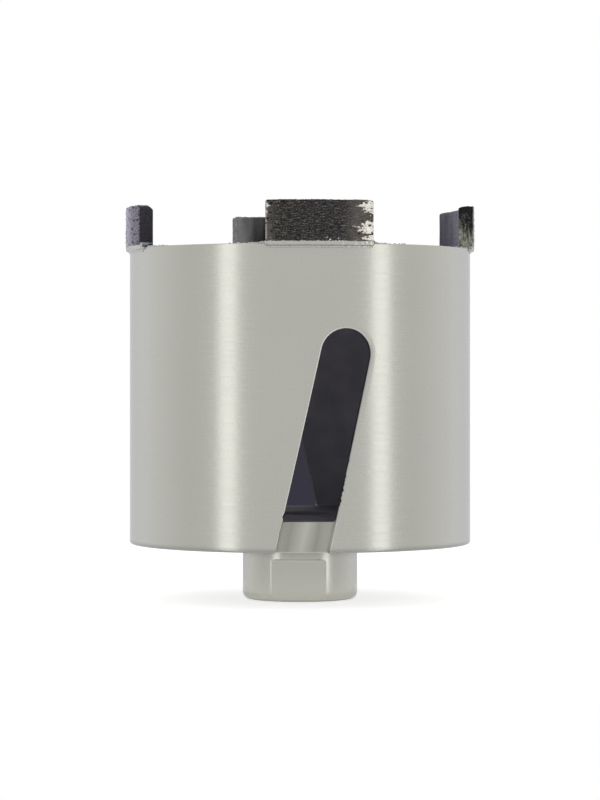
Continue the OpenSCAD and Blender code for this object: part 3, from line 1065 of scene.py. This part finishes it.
# %% Diamond grit
grit_finish, tree, shader = new_material("diamond_grit")
shade = tree.noise(tree.place(), 2600.0, 1.0)
grit_tone = tree.ramp(shade, (0.35, (32, 30, 30)), (0.58, (70, 66, 62)), (0.74, (160, 155, 144)))
tree.fill(shader, {"Base Color": grit_tone, "Roughness": tree.remap(shade, 0.0, 1.0, 0.15, 0.45)})

scatter, given = new_tree("grit_scatter", {"Per Square Metre": 550000.0, "Grain Radius": 0.00008, "Reach": 11.3,
                                           "Seed": 1, "Finish": grit_finish})
height = scatter.split(scatter.first("GeometryNodeInputPosition"))[2]
above = scatter.first("FunctionNodeCompare", {0: height, 1: 0.0828}, data_type="FLOAT", operation="GREATER_THAN")
block = scatter.first("GeometryNodeInputNamedAttribute", {"Name": "lay"}, data_type="FLOAT_VECTOR")
from_middle = scatter.math("ABSOLUTE", scatter.split(block)[0])
short_of_end = scatter.first("FunctionNodeCompare", {0: from_middle, 1: given["Reach"]}, data_type="FLOAT",
                             operation="LESS_THAN")
chosen = scatter.first("FunctionNodeBooleanMath", {0: above, 1: short_of_end}, operation="AND")
spots = scatter.add("GeometryNodeDistributePointsOnFaces",
                    {"Mesh": given["Geometry"], "Selection": chosen, "Density": given["Per Square Metre"],
                     "Seed": given["Seed"]}).outputs
grain = scatter.first("GeometryNodeMeshIcoSphere", {"Radius": given["Grain Radius"], "Subdivisions": 1})
turn = scatter.first("FunctionNodeRandomValue", {1: (6.28, 6.28, 6.28), "Seed": given["Seed"]},
                     data_type="FLOAT_VECTOR")
size = scatter.add("FunctionNodeRandomValue", {2: 0.5, 3: 1.25, "Seed": scatter.math("ADD", given["Seed"], 1.0)},
                   data_type="FLOAT").outputs[1]
sunk = scatter.first("ShaderNodeVectorMath", {0: spots["Normal"], "Scale": -0.00006}, operation="SCALE")
seated = scatter.first("GeometryNodeSetPosition", {"Geometry": spots["Points"], "Offset": sunk})
grains = scatter.first("GeometryNodeInstanceOnPoints",
                       {"Points": seated, "Instance": grain, "Rotation": turn, "Scale": size})
finish_tree(scatter, grains, given["Finish"])
for seed, side in enumerate(SEGMENTS, 1):
    grit = to_object("grit_" + side, segments[side].data.copy())
    run_tree(grit, scatter, Seed=seed, Reach=9.3 if side == "right" else 11.3)
    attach(grit, "root")
    print(grit.name, len(grit.data.polygons), "faces")

# %% [markdown]
# ## Braze
# Molten braze holds each segment on the rim and freezes as a fillet: it hangs over the
# outer wall as a lip, creeps a little up the segment, and runs out to nothing along the
# rim. It is one section swept along the rim, shrinking past the segment's ends. Geometry
# Nodes then push the skin in and out along its normals by a noise, for the lumps that no
# two joints share. Paint covers it but for the front toe of the left segment, where bare
# blue-grey solder shows, and it is thin on that of the right one.

# %% Braze section
TOE = 2.0
TUCK, SKIN = 0.02, 0.03  # how deep the section reaches into the rim, and into the wall's two faces
LIP = ((0.13, 0.95), (0.17, 0.82), (0.13, 0.70), (0.22, 0.60), (0.5, 0.53), (0.83, 0.44), (0.96, 0.28), (0.99, 0.05))


def toe_top(past, height):
    """Height of the braze above the rim, at a distance past the segment's end: a hollow curve."""
    return 0.06 + 0.79 * height * (1 - clamp(past / TOE)) ** 2.1


def braze_section(past, lip_out, lip_in, height=1.0):
    """Section at a distance past the segment's end: radius and height, once round."""
    keep = 1 - clamp(past / 0.9) ** 0.8
    out, into = keep - 0.1 * (1 - keep), 0.6 * keep - 0.1 * (1 - keep)
    drop_out, drop_in = 1.1 * keep - TUCK * (1 - keep), 0.8 * keep - TUCK * (1 - keep)
    if past > 0:
        middle = top_in = Z_RIM + toe_top(past, height)
        top_out = Z_RIM + 0.4 * toe_top(past, height)
    else:
        middle, top_out, top_in = SEG_FOOT + 0.02, SEG_FOOT + lip_out, SEG_FOOT + lip_in
    return ([(OUTER + out * r, Z_RIM - drop_out * z) for r, z in LIP]
            + [(OUTER + out * 0.99, Z_RIM + (top_out - Z_RIM) * 0.6), (OUTER + out * 0.985, top_out - 0.07),
               (OUTER + out * 0.955, top_out), (OUTER + out * 0.9 - 0.02, middle), (SEG_MID, middle),
               (INNER - into * 0.85 + 0.02, middle), (INNER - into * 0.93, top_in),
               (INNER - into * 0.97, top_in - 0.07), (INNER - into * 0.98, Z_RIM + (top_in - Z_RIM) * 0.5)]
            + [(INNER - into * r, Z_RIM - drop_in * z) for r, z in LIP[::-1]]
            + [(INNER + SKIN, Z_RIM - drop_in), (INNER + SKIN, Z_RIM - TUCK), (OUTER - SKIN, Z_RIM - TUCK),
               (OUTER - SKIN, Z_RIM - drop_out)])


lumps, given = new_tree("lumpy_skin", {"Depth": 0.00008, "Lump Size": 0.0009, "Seed": 1.0, "Finish": paint})
fineness = lumps.math("DIVIDE", 1.0, given["Lump Size"])
pattern = lumps.first("ShaderNodeTexNoise", {"W": given["Seed"], "Scale": fineness, "Detail": 3.0},
                      noise_dimensions="4D")
depth = lumps.times(lumps.math("SUBTRACT", pattern, 0.62), given["Depth"])
normal = lumps.first("GeometryNodeInputNormal")
push = lumps.first("ShaderNodeVectorMath", {0: normal, "Scale": lumps.times(depth, 4.0)}, operation="SCALE")
pushed = lumps.first("GeometryNodeSetPosition", {"Geometry": given["Geometry"], "Offset": push})
finish_tree(lumps, pushed, given["Finish"])
print("section points:", len(braze_section(0, 0, 0)))

# %% Braze
braze_finish, tree, shader = new_material("painted_braze")
place, colour, _ = paint_nodes(tree, shader)
thin = tree.remap(tree.noise(place, 1300.0, 3.0), 0.62, 0.7, 0.0, 0.5)
colour = tree.blend(thin, colour, (120, 117, 118))
solder = tree.ramp(tree.noise(place, 700.0, 3.0), (0.38, (66, 70, 82)), (0.62, (142, 150, 166)))
# Bare solder is darker low down at the rim: painted shade under the blob.
low_down = tree.between(tree.split(place)[2], 0.0821, 0.0825, 1.0, 0.0)
solder = tree.blend(low_down, solder, (34, 37, 48))
bare = tree.split(tree.attribute("cut"))[0]
tree.fill(shader, {"Base Color": tree.blend(bare, colour, solder)})


def make_braze(name, form, seed, step=0.1):
    """One joint: its section swept along the rim, with a "cut" attribute where solder is bare."""
    mesh, reach = bmesh.new(), HALF_LENGTH + TOE
    count = int(reach * 2 / step)
    rings, bare = [], []
    for i in range(count + 1):
        s = -reach + reach * 2 * i / count
        fade = clamp((HALF_LENGTH - abs(s)) / 0.4)
        lips = [max(0.12 + 0.12 * wave(s * 0.9, k * 9.1, seed) + 0.34 * wave(s * 2.6, k, seed), 0.02) * fade
                for k in (1, 2)]
        points = braze_section(abs(s) - HALF_LENGTH, *lips, form["toes"][s > 0])
        rings.append([mesh.verts.new(bend_round(s, r, z, form["at"]) / 1000) for r, z in points])
        shown = form["bare"][s > 0] * (abs(s) > HALF_LENGTH - 0.1)
        for r, z in points:
            ragged = 1.5 * wave(s * 1.6, r * 1.8, z * 1.8 + seed)
            bare += (shown * clamp((40.6 - r) * 4.0 + ragged) * clamp((z - 81.9) * 8), 0.0, 0.0, 1.0)
    join_rings(mesh, rings)
    mesh.faces.new(rings[0])
    mesh.faces.new(rings[-1])
    bmesh.ops.recalc_face_normals(mesh, faces=mesh.faces)
    made = to_object(name, mesh)
    made.data.attributes.new("cut", "FLOAT_COLOR", "POINT").data.foreach_set("color", bare)
    made.data.shade_smooth()
    return made


for seed, (side, form) in enumerate(SEGMENTS.items(), 1):
    piece = make_braze("braze_joint_" + side, form, seed)
    run_tree(piece, lumps, Seed=seed * 3.7, Finish=braze_finish)
    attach(piece, "root")
    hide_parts("braze_" + side)
    print(piece.name, len(piece.data.polygons), "faces")

# %% [markdown]
# ## Spatter
# Where braze runs out, tiny beads of it lie on the rim, and the paint goes over them too.
# Their places are picked in Python from a fixed seed, crowded near the segments, and
# Geometry Nodes put a small ball on each, every one of another size.

# %% Spatter
import random

bead_tree, given = new_tree("beads", {"Bead Radius": 0.00022, "Seed": 3, "Finish": braze_finish})
bead = bead_tree.first("GeometryNodeMeshIcoSphere", {"Radius": given["Bead Radius"], "Subdivisions": 2})
size = bead_tree.add("FunctionNodeRandomValue", {2: 0.45, 3: 1.3, "Seed": given["Seed"]}, data_type="FLOAT")
placed = bead_tree.first("GeometryNodeInstanceOnPoints",
                         {"Points": given["Geometry"], "Instance": bead, "Scale": size.outputs[1]})
finish_tree(bead_tree, placed, given["Finish"])
luck = random.Random(5)
places = []
for form in SEGMENTS.values():
    for side in (-1, 1):
        for _ in range(60):
            past = min(luck.expovariate(0.45) + (TOE if form["bare"][side > 0] else 0.3), 8.5)
            r = luck.uniform(38.15, 39.85)
            level = Z_RIM + (toe_top(past, form["toes"][side > 0]) if past < TOE else 0.0)
            places.append(bend_round(side * (HALF_LENGTH + past), r, level, form["at"]) / 1000)
spots = bpy.data.meshes.new("bead_places")
spots.from_pydata(places, [], [])
beads = to_object("braze_spatter", spots)
run_tree(beads, bead_tree, Seed=3)
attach(beads, "root")
print("beads:", len(places))
